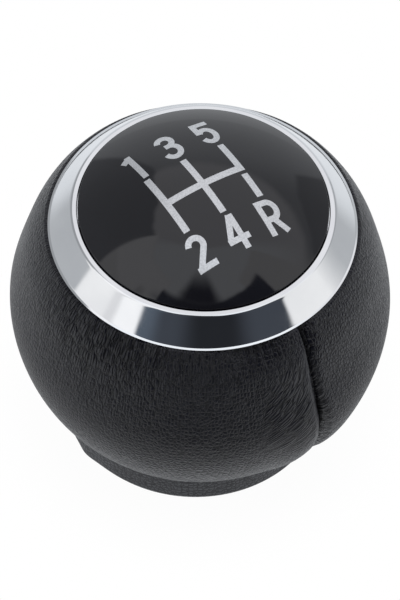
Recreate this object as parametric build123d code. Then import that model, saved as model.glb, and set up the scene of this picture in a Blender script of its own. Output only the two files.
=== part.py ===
from build123d import *
from math import sqrt
import os

# A round gear knob: a moulded core on a brass insert, a sewn leather cover with one seam
# behind, a moulded lower collar, a bright bevelled ring and a domed cap.
# Millimetres, +Z up. The origin is the centre of the base, and +Y is the way that the
# first row of the shift pattern faces.

# Ball and leather cover
BALL_RADIUS = 26.0  # over the leather
LEATHER = 1.2
GLUE_LINE = 0.1  # between the leather and the core
TUCK_CLEARANCE = 0.1  # from a turned-in edge of the leather to what it butts against
TOP_EDGE_ROUND = 0.8  # where the leather turns in under the ring
LOW_EDGE_ROUND = 0.5  # where it turns in over the collar

# Seam behind the ball
SEAM_TURN = 5.5  # degrees from straight behind, towards +X
SEAM_GAP = 0.3  # between the two sewn edges
SEAM_ROLL = 1.4  # radius of the leather's fold into the seam
SEAM_ROLL_RISE = 0.1  # the fold's circle stands this far out of the ball, so that it starts at an angle
FLAP = 0.9  # pared thickness of the turned-in edges
FLAP_DEPTH = 3.2
FLAP_ROOT = 0.3  # how far the flaps run into the leather
FLAP_LOW_GAP = 3.7  # from the core's lower shoulder up to the flaps
FLAP_TOP_GAP = 1.0  # from the flaps up to the groove for the ring
CHANNEL_CLEARANCE = 0.3  # round the flaps and the thread, in the core

# Sewing thread through the flaps
THREAD_RADIUS = 0.25
THREAD_DEPTH = 1.7  # below the inner face of the leather
THREAD_HOLE_CLEARANCE = 0.1
STITCH = 2.5

# Lower collar
COLLAR_RADIUS = 18.2
COLLAR_HEIGHT = 4.5
COLLAR_WALL = 1.8
COLLAR_FLANGE = 3.2  # width of the flange that holds the leather's lower edge
COLLAR_PLATE = 1.5  # and its thickness
COLLAR_STEP = 0.3  # the collar stands this far out of the ball where they meet
COLLAR_EDGE_BEVEL = 0.5
COLLAR_CLEARANCE = 0.05  # on the neck

# Neck of the core, with a bead that keeps the collar on
NECK_WALL = 1.6
NECK_RECESS = 0.8  # from the base up to the neck
BEAD_RISE = 0.35
BEAD_HEIGHT = 0.9

# Threaded insert for an M12 x 1.25 lever, plain at the thread's minor radius
LEVER_RADIUS = 5.32
LEVER_CHAMFER = 0.7
INSERT_WALL = 1.3  # under the groove
INSERT_GROOVE_DEPTH = 0.9
INSERT_GROOVE_WIDTH = 4.0
INSERT_LENGTH = 20.0

# Coring pockets between the boss and the outer wall, above and below
BOSS_WALL = 1.5  # round the insert's corners
LOW_POCKET_DEPTH = 13.0
TOP_POCKET_DEPTH = 11.0
RIB = 1.6
RIB_COUNT = 6

# Bright ring
RING_RADIUS = 20.75
RING_HEIGHT = 3.6  # from its seat on the leather up to its lip
RING_RIM = 0.4  # upright edge below the bevel
RING_BEVEL = 3.3  # width of the bevel
RING_LIP = 0.65  # on top, inside the bevel
RING_CROWN_ROUND = 1.0  # from the bevel over to the lip
RING_EDGE_BEVEL = 0.12
LEATHER_LIP = 0.4  # the leather stands this far out of the ring where they meet
LEDGE_HEIGHT = 1.2  # the cap's seat above the ring's
LEDGE_WIDTH = 0.9
SKIRT_WALL = 1.6
SKIRT_DEPTH = 6.1
SKIRT_CLEARANCE = 0.1
LEG_COUNT = 4
LEG_SLOT = 16.0
LEG_LENGTH = 4.0
HOOK_RISE = 0.5
HOOK_HEIGHT = 1.2

# Domed cap with press pins
CAP_CLEARANCE = 0.15
CAP_RISE = 5.0
CAP_PROUD = 0.25  # the cap's edge above the ring's lip
CAP_WALL = 2.0
CAP_RIM = 1.2
CAP_EDGE_BEVEL = 0.3
CAP_PAD_MARGIN = 1.5  # of the flat under the dome, round the pins
PLATEAU_RISE = 0.6  # the core's top above the ring's seat
PIN_RADIUS = 1.5
PIN_CIRCLE = 6.0
PIN_COUNT = 3
PIN_DEPTH = 4.0
PIN_CLEARANCE = 0.05
PIN_END_GAP = 0.3

# Radii and levels that follow from those sizes
leather_inner = BALL_RADIUS - LEATHER
core_radius = leather_inner - GLUE_LINE
collar_bore = COLLAR_RADIUS - COLLAR_FLANGE
neck_radius = collar_bore - COLLAR_CLEARANCE
pocket_outer = neck_radius - NECK_WALL
insert_half = LEVER_RADIUS + INSERT_WALL + INSERT_GROOVE_DEPTH
boss_radius = insert_half * 2 / sqrt(3) + BOSS_WALL
ring_bore = RING_RADIUS - RING_BEVEL - RING_LIP
cap_radius = ring_bore - CAP_CLEARANCE
skirt_inner = ring_bore - LEDGE_WIDTH
skirt_outer = skirt_inner + SKIRT_WALL
groove_inner = skirt_inner - SKIRT_CLEARANCE
groove_outer = skirt_outer + SKIRT_CLEARANCE

plate_low_z = COLLAR_HEIGHT - COLLAR_PLATE
ball_z = COLLAR_HEIGHT + sqrt(BALL_RADIUS**2 - (COLLAR_RADIUS - COLLAR_STEP) ** 2)
ring_seat_z = ball_z + sqrt(BALL_RADIUS**2 - (RING_RADIUS + LEATHER_LIP) ** 2)
ring_top_z = ring_seat_z + RING_HEIGHT
ledge_z = ring_seat_z + LEDGE_HEIGHT
skirt_low_z = ring_seat_z - SKIRT_DEPTH
groove_low_z = skirt_low_z - SKIRT_CLEARANCE
shoulder_top_z = ring_seat_z - LEATHER
shoulder_low_z = COLLAR_HEIGHT + LEATHER
plateau_z = ring_seat_z + PLATEAU_RISE
cap_edge_z = ring_top_z + CAP_PROUD
cap_top_z = cap_edge_z + CAP_RISE
dome_radius = (cap_radius**2 + CAP_RISE**2) / (2 * CAP_RISE)
dome_z = cap_top_z - dome_radius

flap_low_z = shoulder_low_z + FLAP_LOW_GAP
flap_high_z = groove_low_z - FLAP_TOP_GAP
thread_side = SEAM_GAP / 2 + FLAP + THREAD_RADIUS
seam_axis = Axis((0, 0, ball_z), (1, 0, 0))


def ball_point(radius, z):
    """The point at height z on a ball of this radius round the knob's centre, as (r, z)."""
    return (sqrt(radius**2 - (z - ball_z) ** 2), z)


def dome_height(r):
    """The cap's upper face at distance r from the axis."""
    return dome_z + sqrt(dome_radius**2 - r**2)


def turn(*lines, rounds=(), bevels=()):
    """Revolve a section drawn as (r, z). rounds and bevels list corners to break first, as (point, size)."""
    section = make_face([edge for line in lines for edge in line.edges()])
    for point, radius in rounds:
        section = fillet(section.vertices().sort_by_distance(point)[0], radius)
    for point, length in bevels:
        section = chamfer(section.vertices().sort_by_distance(point)[0], length)
    return revolve(Plane.XZ * section, Axis.Z)


def tube(inner, outer, low, high):
    return Pos(0, 0, low) * extrude(Circle(outer) - Circle(inner), high - low)


def seam_strip(inner, outer, width, side, low, high):
    """A curved strip behind the ball in the seam's plane, between two radii and two levels."""
    behind = Pos(-outer / 2, (low + high) / 2 - ball_z) * Rectangle(outer, high - low)
    strip = (Circle(outer) - Circle(inner)) & behind
    return Pos(side, 0, ball_z) * extrude(Plane.YZ * strip, width / 2, both=True)


def at_seam(shape):
    """Turn a shape that was drawn straight behind the ball to where the seam is."""
    return Rot(0, 0, SEAM_TURN) * shape


def stitch_holes():
    """Where the thread passes through the flaps, as (y, z), evenly spaced along the seam."""
    radius = leather_inner - THREAD_DEPTH
    span = flap_high_z - flap_low_z
    count = int(span / STITCH)
    first = flap_low_z + (span - (count - 1) * STITCH) / 2
    heights = [first + i * STITCH for i in range(count)]
    return [(-ball_point(radius, z)[0], z) for z in heights]


def insert_blank():
    """The insert's outside: a hexagon bar with a groove that the core's plastic fills."""
    bar = Pos(0, 0, NECK_RECESS) * extrude(RegularPolygon(insert_half, 6, major_radius=False), INSERT_LENGTH)
    middle = NECK_RECESS + INSERT_LENGTH / 2
    half = INSERT_GROOVE_WIDTH / 2
    groove = tube(insert_half - INSERT_GROOVE_DEPTH, 2 * insert_half, middle - half, middle + half)
    return bar - groove


def threaded_insert():
    hole = Pos(0, 0, NECK_RECESS) * extrude(Circle(LEVER_RADIUS), INSERT_LENGTH)
    insert = insert_blank() - hole
    mouth = insert.edges().filter_by(GeomType.CIRCLE).group_by(Axis.Z)[0]
    return chamfer(mouth, LEVER_CHAMFER)


def pockets(low, high):
    """A ring of coring pockets round the boss, parted by ribs."""
    ring = tube(boss_radius, pocket_outer, low, high)
    rib = Pos(pocket_outer / 2, 0, (low + high) / 2) * Box(pocket_outer + RIB, RIB, high - low)
    ring -= [Rot(0, 0, 360 / RIB_COUNT * i) * rib for i in range(RIB_COUNT)]
    return ring


def knob_core():
    low_edge = ball_point(core_radius, shoulder_low_z)
    top_edge = ball_point(core_radius, shoulder_top_z)
    bead_top_z = plate_low_z - COLLAR_CLEARANCE
    core = turn(
        Polyline(
            (0, NECK_RECESS),
            (neck_radius, NECK_RECESS),
            (neck_radius, bead_top_z - BEAD_HEIGHT),
            (neck_radius + BEAD_RISE, bead_top_z),
            (neck_radius, bead_top_z),
            (neck_radius, shoulder_low_z),
            low_edge,
        ),
        ThreePointArc(low_edge, (core_radius, ball_z), top_edge),
        Polyline(
            top_edge,
            (groove_inner, shoulder_top_z),
            (groove_inner, plateau_z),
            (0, plateau_z),
            (0, NECK_RECESS),
        ),
    )
    # Groove for the ring's skirt, with an undercut for its hooks
    hook_top_z = skirt_low_z + HOOK_HEIGHT + SKIRT_CLEARANCE
    core -= tube(groove_inner, groove_outer, groove_low_z, shoulder_top_z)
    core -= tube(groove_inner, groove_outer + HOOK_RISE, groove_low_z, hook_top_z)
    # Coring from both ends, the insert's seat and the holes for the cap's pins
    core -= pockets(NECK_RECESS, NECK_RECESS + LOW_POCKET_DEPTH)
    core -= pockets(plateau_z - TOP_POCKET_DEPTH, plateau_z)
    core -= insert_blank()
    hole_depth = PIN_DEPTH + PIN_END_GAP
    hole = Pos(0, 0, plateau_z - hole_depth) * extrude(Circle(PIN_RADIUS + PIN_CLEARANCE), hole_depth)
    core -= [spot * hole for spot in PolarLocations(PIN_CIRCLE, PIN_COUNT, start_angle=90)]
    # Channel for the seam's flaps and thread
    channel = seam_strip(
        leather_inner - FLAP_DEPTH - CHANNEL_CLEARANCE,
        BALL_RADIUS,
        2 * (thread_side + THREAD_RADIUS + CHANNEL_CLEARANCE),
        side=0,
        low=flap_low_z - CHANNEL_CLEARANCE,
        high=flap_high_z + CHANNEL_CLEARANCE,
    )
    return core - at_seam(channel)


def seam_groove():
    """What the two folded edges leave open between them, along the seam."""
    fold_x = SEAM_GAP / 2 + SEAM_ROLL
    fold_z = ball_z + BALL_RADIUS + SEAM_ROLL_RISE - SEAM_ROLL
    crown_z = fold_z + SEAM_ROLL
    outside_z = crown_z + LEATHER
    mid = SEAM_ROLL * sqrt(0.5)
    right = ThreePointArc((SEAM_GAP / 2, fold_z), (fold_x - mid, fold_z + mid), (fold_x, crown_z))
    left = ThreePointArc((-SEAM_GAP / 2, fold_z), (mid - fold_x, fold_z + mid), (-fold_x, crown_z))
    floor = Line((-SEAM_GAP / 2, fold_z), (SEAM_GAP / 2, fold_z))
    above = Polyline((-fold_x, crown_z), (-fold_x, outside_z), (fold_x, outside_z), (fold_x, crown_z))
    section = make_face([edge for line in (right, left, floor, above) for edge in line.edges()])
    return revolve(Plane.XZ * section, seam_axis, 180)


def leather_cover():
    low_edge = ball_point(BALL_RADIUS, COLLAR_HEIGHT)
    top_edge = ball_point(BALL_RADIUS, ring_seat_z)
    inner_low = ball_point(leather_inner, shoulder_low_z)
    inner_top = ball_point(leather_inner, shoulder_top_z)
    top_tuck = groove_outer + TUCK_CLEARANCE
    low_tuck = neck_radius + TUCK_CLEARANCE
    cover = turn(
        ThreePointArc(low_edge, (BALL_RADIUS, ball_z), top_edge),
        Polyline(top_edge, (top_tuck, ring_seat_z), (top_tuck, shoulder_top_z), inner_top),
        ThreePointArc(inner_top, (leather_inner, ball_z), inner_low),
        Polyline(inner_low, (low_tuck, shoulder_low_z), (low_tuck, COLLAR_HEIGHT), low_edge),
        rounds=[(top_edge, TOP_EDGE_ROUND), (low_edge, LOW_EDGE_ROUND)],
    )
    slit = Pos(0, -BALL_RADIUS, ball_z) * Box(SEAM_GAP, BALL_RADIUS, 2 * BALL_RADIUS)
    cover -= slit
    cover -= seam_groove()
    for side in (-1, 1):
        cover += seam_strip(
            leather_inner - FLAP_DEPTH,
            leather_inner + FLAP_ROOT,
            FLAP,
            side=side * (SEAM_GAP + FLAP) / 2,
            low=flap_low_z,
            high=flap_high_z,
        )
    needle = Cylinder(THREAD_RADIUS + THREAD_HOLE_CLEARANCE, 2 * thread_side, rotation=(0, 90, 0))
    cover -= [Pos(0, y, z) * needle for y, z in stitch_holes()]
    return at_seam(cover)


def seam_thread():
    """One thread in a running stitch, crossing from side to side at each hole."""
    points = []
    side = thread_side
    for y, z in stitch_holes():
        points += [(side, y, z), (-side, y, z)]
        side = -side
    path = Polyline(*points)
    end = Plane(origin=path @ 0, z_dir=path % 0)
    strand = end * RegularPolygon(THREAD_RADIUS, 6)
    return at_seam(sweep(strand, path=path, transition=Transition.RIGHT))


def base_collar():
    wall_inner = COLLAR_RADIUS - COLLAR_WALL
    return turn(
        Polyline(
            (COLLAR_RADIUS, 0),
            (COLLAR_RADIUS, COLLAR_HEIGHT),
            (collar_bore, COLLAR_HEIGHT),
            (collar_bore, plate_low_z),
            (wall_inner, plate_low_z),
            (wall_inner, 0),
            (COLLAR_RADIUS, 0),
        ),
        bevels=[((COLLAR_RADIUS, 0), COLLAR_EDGE_BEVEL)],
    )


def trim_ring():
    rim = (RING_RADIUS, ring_seat_z + RING_RIM)
    crown = (ring_bore + RING_LIP, ring_top_z)
    lip = (ring_bore, ring_top_z)
    ring = turn(
        Polyline(
            (skirt_inner, skirt_low_z),
            (skirt_outer, skirt_low_z),
            (skirt_outer + HOOK_RISE, skirt_low_z + HOOK_HEIGHT),
            (skirt_outer, skirt_low_z + HOOK_HEIGHT),
            (skirt_outer, ring_seat_z),
            (RING_RADIUS, ring_seat_z),
            rim,
            crown,
            lip,
            (ring_bore, ledge_z),
            (skirt_inner, ledge_z),
            (skirt_inner, skirt_low_z),
        ),
        rounds=[(crown, RING_CROWN_ROUND)],
        bevels=[(rim, RING_EDGE_BEVEL), (lip, RING_EDGE_BEVEL)],
    )
    # Slots part the skirt's lower end into legs, each with its hook
    slot = Pos(0, 0, skirt_low_z + LEG_LENGTH / 2) * Box(skirt_outer, LEG_SLOT, LEG_LENGTH)
    return ring - [spot * slot for spot in PolarLocations(skirt_outer, LEG_COUNT)]


def pattern_cap():
    edge = (cap_radius, cap_edge_z)
    rim_inner = cap_radius - CAP_RIM
    rim_under = (rim_inner, dome_height(rim_inner) - CAP_WALL)
    pad_radius = PIN_CIRCLE + PIN_RADIUS + CAP_PAD_MARGIN
    pad_z = dome_height(pad_radius) - CAP_WALL
    half = cap_radius / 2
    cap = turn(
        ThreePointArc((0, cap_top_z), (half, dome_height(half)), edge),
        Polyline(
            edge,
            (cap_radius, ledge_z),
            (rim_inner, ledge_z),
            rim_under,
            (pad_radius, pad_z),
            (0, pad_z),
            (0, cap_top_z),
        ),
        bevels=[(edge, CAP_EDGE_BEVEL)],
    )
    pin_low_z = plateau_z - PIN_DEPTH
    pin = Pos(0, 0, pin_low_z) * extrude(Circle(PIN_RADIUS), pad_z - pin_low_z)
    return cap + [spot * pin for spot in PolarLocations(PIN_CIRCLE, PIN_COUNT, start_angle=90)]


pieces = {
    "knob_core": knob_core(),
    "threaded_insert": threaded_insert(),
    "leather_cover": leather_cover(),
    "seam_thread": seam_thread(),
    "base_collar": base_collar(),
    "trim_ring": trim_ring(),
    "pattern_cap": pattern_cap(),
}

os.makedirs("parts", exist_ok=True)
for name, piece in pieces.items():
    export_step(piece, f"parts/{name}.step")
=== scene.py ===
import math

import bmesh
import bpy
import numpy as np
from mathutils import Matrix, Quaternion, Vector


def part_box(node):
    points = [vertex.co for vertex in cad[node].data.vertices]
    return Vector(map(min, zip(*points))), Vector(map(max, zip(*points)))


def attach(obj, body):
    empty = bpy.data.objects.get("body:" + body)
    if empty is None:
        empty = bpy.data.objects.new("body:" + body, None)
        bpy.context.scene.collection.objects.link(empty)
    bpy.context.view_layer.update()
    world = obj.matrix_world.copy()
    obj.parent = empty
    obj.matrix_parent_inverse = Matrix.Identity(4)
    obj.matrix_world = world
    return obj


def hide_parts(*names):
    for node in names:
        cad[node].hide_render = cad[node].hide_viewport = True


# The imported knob: metres, +Z up, +Y the way that the first row of the shift pattern faces
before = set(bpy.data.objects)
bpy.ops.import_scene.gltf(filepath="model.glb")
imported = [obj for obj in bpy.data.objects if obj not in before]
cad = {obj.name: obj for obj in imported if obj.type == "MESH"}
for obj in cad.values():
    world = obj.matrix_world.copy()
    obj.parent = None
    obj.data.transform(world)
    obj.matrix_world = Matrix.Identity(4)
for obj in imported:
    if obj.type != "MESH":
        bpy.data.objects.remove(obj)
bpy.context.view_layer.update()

MM = 0.001
BODY = "root"

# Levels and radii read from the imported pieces
collar_low, collar_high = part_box("base_collar")
leather_low, leather_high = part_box("leather_cover")
ring_low, ring_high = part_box("trim_ring")
cap_low, cap_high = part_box("pattern_cap")
insert_low, insert_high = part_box("threaded_insert")

# Ball and leather cover
BALL_RADIUS = 26.0 * MM
LEATHER = 1.2 * MM
COLLAR_STEP = 0.3 * MM  # the collar stands this far out of the ball where they meet
TOP_EDGE_ROUND = 0.5 * MM
LOW_EDGE_ROUND = 0.5 * MM
TOP_TUCK_RADIUS = 17.7 * MM  # how far the cover runs in under the ring
LOW_TUCK_RADIUS = 15.05 * MM  # and over the collar
WAIST_DEPTH = 0.42 * MM  # the cover lies a little hollow below the ring
WAIST_PLACE = 0.26  # as a share of the way down
WAIST_WIDTH = 0.13
DIP_DEPTH = 0.45 * MM  # and its upper edge dips on the far side
DIP_TURN = 143.0  # degrees round from the seam
DIP_WIDTH = 22.0
DIP_REACH = 0.12  # share of the way down
SAG_DEPTH = 0.6 * MM  # and it is drawn in under the ring to the left of the seam
SAG_DOWN = (0.3 * MM, 2.6 * MM)  # place and width below the ring
SAG_ROUND = (-9.5 * MM, 5.5 * MM)  # and round from the seam
PUCKER_DEPTH = 0.4 * MM  # with a few short folds
PUCKER_DOWN = (0.8 * MM, 2.6 * MM)
PUCKER_ROUND = (-7.0 * MM, 3.5 * MM)
PUCKER_SPACING = 1.5 * MM
ball_z = leather_low.z + math.sqrt(BALL_RADIUS**2 - (collar_high.x - COLLAR_STEP) ** 2)
girth = 2 * math.pi * BALL_RADIUS

# Seam behind the ball, as distances round the ball from it
SEAM_TURN = -84.5  # degrees round the axis from +X
# Degrees that the seam leaves that line by, at shares of the way down
SEAM_WANDER = {0.0: -1.0, 0.2: -0.65, 0.3: -0.15, 0.4: 0.75, 0.5: 1.95, 0.6: 3.2, 0.8: 5.0, 1.0: 6.0}
SEAM_WANDER_DEGREE = 5  # of the curve drawn through them
SEAM_WANDER_REACH = 30.0 * MM
SEAM_GAP = 0.05 * MM
SEAM_DEPTH = 1.3 * MM
SEAM_SHADE_DEPTHS = (0.45, 0.85)  # its painted shade and dullness grow between these shares of its depth
LEFT_ROLL = 1.3 * MM  # the left panel folds round into the seam
LEFT_ROLL_TOP = 0.4 * MM  # more sharply under the ring
LEFT_ROLL_REACH = 0.42  # share of the way down between the two
LEFT_PUFF = 0.45 * MM  # and stands proud beside it
LEFT_PUFF_PLACE = 3.0 * MM
LEFT_PUFF_WIDTH = 2.6 * MM
LEFT_PUFF_FULL = 0.625  # from this share of the way down
LEFT_TAUT = 0.75  # share by which the fold stretches the grain flat
RIGHT_GROOVE = 0.4 * MM  # the right panel drops into it over this width
RIGHT_GROOVE_POWER = 1.4
RIGHT_SLOPE_TOP = (1.0 * MM, 1.35 * MM)  # and leans towards it first: depth and width under the ring
RIGHT_SLOPE_FOOT = (0.3 * MM, 1.0 * MM)  # and lower down
RIGHT_SLOPE_REACH = 0.24  # share of the way down between the two
RIGHT_SLOPE_POWER = 3
RIGHT_PUCKER = 0.14  # share by which the slope's width comes and goes
RIGHT_PUCKER_COUNT = 20
RIGHT_PUFF = 1.34 * MM  # low down, the right panel swells beside the seam
RIGHT_PUFF_RISE = 2.5 * MM
RIGHT_PUFF_FADE = 8.0 * MM
RIGHT_PUFF_START = 0.25  # share of the way down at which the swell starts
RIGHT_PUFF_GROW = 0.3  # and shares over which it grows, and ends above the collar
RIGHT_PUFF_END = 0.15

# Fine columns of the cover's mesh beside the seam, and coarse ones away from it
FINE_COLUMN = 0.07 * MM
COARSE_COLUMN = 0.33 * MM
COLUMN_GROWTH = 1.05
OUTER_ROWS = 128
INNER_ROWS = 12
EDGE_ROWS = 6
TUCK_ROWS = 3
UNDER_ROWS = 2

# Gathers under the ring and creases beside the seam
GATHER_PLACE = -33.0 * MM  # from the seam
GATHER_WIDTH = 13.0 * MM
GATHER_REACH = 10.0 * MM  # below the ring
GATHER_EVEN = 0.2  # strength elsewhere round the ring
DRAWN_WIDTH = 20.0 * MM  # the grain is drawn out by the gathers over a wider patch
DRAWN_REACH = 15.0 * MM
DRAWN_EVEN = 0.15
DRAWN_RIGHT = 0.5  # share kept on the panel to the right of the seam
PANEL_EDGE = 2.0 * MM  # the left panel's gathers grow over this distance from the seam
COARSE_GRAIN = (14.0 * MM, 24.0 * MM)  # the grain grows coarser between these distances below the ring
BACK_GRAIN = (50.0 * MM, 70.0 * MM)  # and between these round from the seam
CREASE_PLACE = (-3.5 * MM, 13.0 * MM)  # from the seam, and below the ring
CREASE_SIZE = (5.5 * MM, 9.0 * MM)
CREASE_TURN = math.radians(-42.0)
CREASE_CENTRE = (-15.0 * MM, 0.0)  # the grain of the creases curves round this place
CREASE_ROUND = 17.0 * MM
FOLD_SIZES = {
    "Gather depth": 0.13 * MM,
    "Gather spacing": 1.3 * MM,
    "Gather length": 6.0 * MM,
    "Crease depth": 0.10 * MM,
    "Crease spacing": 1.2 * MM,
    "Crease length": 9.0 * MM,
    "Crease turn": CREASE_TURN,
    "Swell": 0.10 * MM,
    "Swell size": 9.0 * MM,
}

# Leather's finish: four kinds of grain, as size and warp of the cells
GRAIN_CELLS = {
    "upright": (0.52 * MM, 0.4),
    "even": (0.68 * MM, 0.4),
    "drawn": (0.47 * MM, 0.5),
    "curved": (0.45 * MM, 0.5),
}
UPRIGHT_RUN = 0.75  # scales along the run of three of them: the smaller, the longer the cells
DRAWN_RUN = 0.26
CURVED_RUN = 0.17
CURVED_SHARE = (0.1, 0.7)  # strengths of the creases at which their grain starts and is full
COARSE_ROUGH = 0.2  # how much rougher the grain is where it is coarse
GATHER_ROUGH = 2.5  # and among the gathers
LEATHER_CLOUD = 6.0 * MM
LEATHER_COLOURS = ((0.0034, 0.0036, 0.0086), (0.0058, 0.0060, 0.0120))
# Painted shade in the grain's valleys, darkening the base colour
LEATHER_VALLEY_SHADE = (0.0010, 0.0010, 0.0014)
LEATHER_VALLEY_SHADE_SHARE = 0.8
# Painted shade deep in the seam
LEATHER_SEAM_SHADE = (0.0012, 0.0012, 0.0014)
LEATHER_ROUGHNESS = (0.33, 0.40)  # on the cells and in their valleys
LEATHER_SPECULAR = 0.385
LEATHER_BUMP = 0.135 * MM

# Collar's finish
COLLAR_GRAIN = {"Cell": 0.6 * MM, "Warp": 0.6}
COLLAR_CLOUD = 5.0 * MM
COLLAR_COLOURS = ((0.0450, 0.0459, 0.0520), (0.0580, 0.0590, 0.0665))
# Painted shade in the collar grain's valleys
COLLAR_VALLEY_SHADE = (0.006, 0.006, 0.007)
COLLAR_VALLEY_SHADE_SHARE = 0.75
COLLAR_ROUGHNESS = (0.46, 0.6)
COLLAR_BUMP = 0.1 * MM

# Other finishes, each clouded between two colours. Where shine has clouds of its own, their size is given,
# and where the surface is uneven, its noise's scale and detail and the bump's distance and strength
FINISHES = {
    "bright_chrome": {
        "colours": ((0.67, 0.68, 0.70), (0.72, 0.73, 0.745)),
        "cloud": 9.0 * MM,
        "roughness": (0.05, 0.10),
        "shine_cloud": 4.0 * MM,
        "metallic": 1.0,
        "noise": (160.0, 1.0),
        "bump": (0.06 * MM, 0.5),
    },
    "gloss_black": {
        "colours": ((0.0050, 0.0049, 0.0073), (0.0073, 0.0072, 0.0102)),
        "cloud": 12.0 * MM,
        "roughness": (0.03, 0.07),
        "shine_cloud": 2.5 * MM,
    },
    "silver_print": {
        "colours": ((0.500, 0.510, 0.530), (0.630, 0.640, 0.660)),
        "cloud": 0.22 * MM,
        "roughness": (0.36, 0.28),
        "metallic": 0.8,
    },
    "moulded_plastic": {
        "colours": ((0.020, 0.020, 0.021), (0.028, 0.028, 0.029)),
        "cloud": 3.0 * MM,
        "roughness": (0.42, 0.56),
        "noise": (6000.0, 2.0),
        "bump": (0.01 * MM, 1.0),
    },
    "turned_brass": {
        "colours": ((0.62, 0.45, 0.17), (0.72, 0.55, 0.25)),
        "cloud": 2.0 * MM,
        "roughness": (0.22, 0.36),
        "metallic": 1.0,
        "noise": (4000.0, 1.0),
        "bump": (0.004 * MM, 1.0),
    },
}
THREAD_COLOURS = ((0.010, 0.010, 0.011), (0.030, 0.030, 0.032))
THREAD_ROUGHNESS = 0.7

# Bright ring
RING_FOOT = 0.06 * MM  # height of the ring's outer edge
RING_FOOT_SLOPE = (0.29 * MM, 0.105 * MM)  # in and up from there, before the bevel
RING_FOOT_ROUND = 0.2 * MM
RING_BEVEL = 3.09 * MM
RING_LIP = 0.81 * MM
RING_CROWN_ROUND = 0.7 * MM
RING_LIP_ROUND = 0.16 * MM
LEDGE_HEIGHT = 1.2 * MM
LEDGE_WIDTH = 0.95 * MM
SKIRT_WALL = 1.6 * MM
HOOK_RISE = 0.5 * MM
HOOK_HEIGHT = 1.2 * MM
LEG_COUNT = 4
LEG_SLOT = 16.0 * MM
LEG_LENGTH = 4.0 * MM
LEG_STEPS = 30
ring_bore = ring_high.x - RING_BEVEL - RING_LIP
ring_seat_z = leather_high.z
ledge_z = ring_seat_z + LEDGE_HEIGHT
skirt_inner = ring_bore - LEDGE_WIDTH
skirt_outer = skirt_inner + SKIRT_WALL

# Domed cap
CAP_RISE = 5.0 * MM
CAP_SPREAD = 0.1 * MM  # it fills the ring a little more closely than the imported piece
CAP_WALL = 2.0 * MM
CAP_RIM = 1.2 * MM
CAP_EDGE_ROUND = 0.3 * MM  # the dome ends this far inside the cap's edge
CAP_CORNER_ROUND = 0.18 * MM
CAP_MERGE = 0.0005 * MM
CAP_PAD_RADIUS = 9.0 * MM
PIN_RADIUS = 1.5 * MM
PIN_CIRCLE = 6.0 * MM
PIN_COUNT = 3
PIN_TURN = 90.0
PIN_STEPS = 32
DOME_ROWS = 60
cap_radius = cap_high.x + CAP_SPREAD
cap_edge_z = cap_high.z - CAP_RISE
dome_radius = (cap_radius**2 + CAP_RISE**2) / (2 * CAP_RISE)
dome_z = cap_high.z - dome_radius

# Threaded insert, M12 x 1.25
THREAD_MAJOR = 6.0 * MM
THREAD_MINOR = 5.32 * MM
THREAD_PITCH = 1.25 * MM
THREAD_BITE = 0.03 * MM  # the ridge reaches this far into the wall
THREAD_FOOT = 0.875  # widths of the ridge, as shares of the pitch
THREAD_TOP = 0.25
THREAD_STEPS = 48  # in one turn
LEVER_CHAMFER = 0.7 * MM
INSERT_GROOVE_DEPTH = 0.9 * MM
INSERT_GROOVE_WIDTH = 4.0 * MM
FLAT = 60.0  # degrees round that one of its six flats takes up

# Printed pattern, in millimetres on the cap seen from above
PRINT_LINE = 0.93
PRINT_BAR = 1.0
PRINT_STROKE = 0.83
PRINT_COLUMNS = (-5.77, -0.12, 5.76)
PRINT_TOP = 5.15
PRINT_FOOT = -4.93
PRINT_BAR_Y = 0.17
PRINT_GAP_Y = -0.9  # the last column's lower line starts here, clear of the bar
PRINT_GAP_SHIFT = 0.08  # and stands this far to the left
PRINT_ARC_STEP = 12.0  # degrees
PRINT_RISE = 0.02 * MM
PRINT_SINK = 0.06 * MM
PRINT_CELL = 0.8  # the print is cut into cells of this size so that it follows the dome
PRINT_CUT = 1e-5  # points this close to a cut lie on it

# Lower collar
COLLAR_WALL = 1.8 * MM
COLLAR_FLANGE = 3.2 * MM
COLLAR_PLATE = 1.5 * MM
COLLAR_PROUD = 0.38 * MM
COLLAR_FOOT_ROUND = 0.9 * MM
COLLAR_CORNER_TURN = 184.0  # degrees from +X at which the foot is left almost square
COLLAR_CORNER_WIDTH = 10.0
COLLAR_CORNER = 0.1 * MM  # and stands out by this much
COLLAR_TOP_ROUND = 0.25 * MM
COLLAR_LEAN = (-0.31 * MM, 0.21 * MM)  # the outer wall lies this far off the axis

TURN_STEPS = 360
ROUND_STEPS = 6
CORNER_HOLD = 0.15  # an extra line beside each rounded corner, as a share of its radius
SHARP = math.radians(35)  # edges that turn by more than this stay sharp

# Camera, fitted to the ball, the ring and the collar in the photograph
CAMERA_AZIMUTH = -34.2
CAMERA_ELEVATION = 53.83
CAMERA_ROLL = 2.34
CAMERA_DISTANCE = 600.0 * MM
CAMERA_LENS = 263.7
CAMERA_CLIP = (0.01, 100.0)
SENSOR = 36.0
CAMERA_DROP = 1.16 * MM  # the picture's middle lies this far below the ball's

# Studio
PLAIN_WHITE = (1.0, 1.0, 1.0)
FLOOR_HALF = 3.0
FLOOR_WHITE = 0.85
FLOOR_ROUGHNESS = 0.9
FLOOR_SEEN = (19.0 * MM, 34.0 * MM)  # the camera sees its shading fade to white between these distances
FLOOR_SEEN_GLOW = 0.97  # share of plain white in it close to the knob
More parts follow.
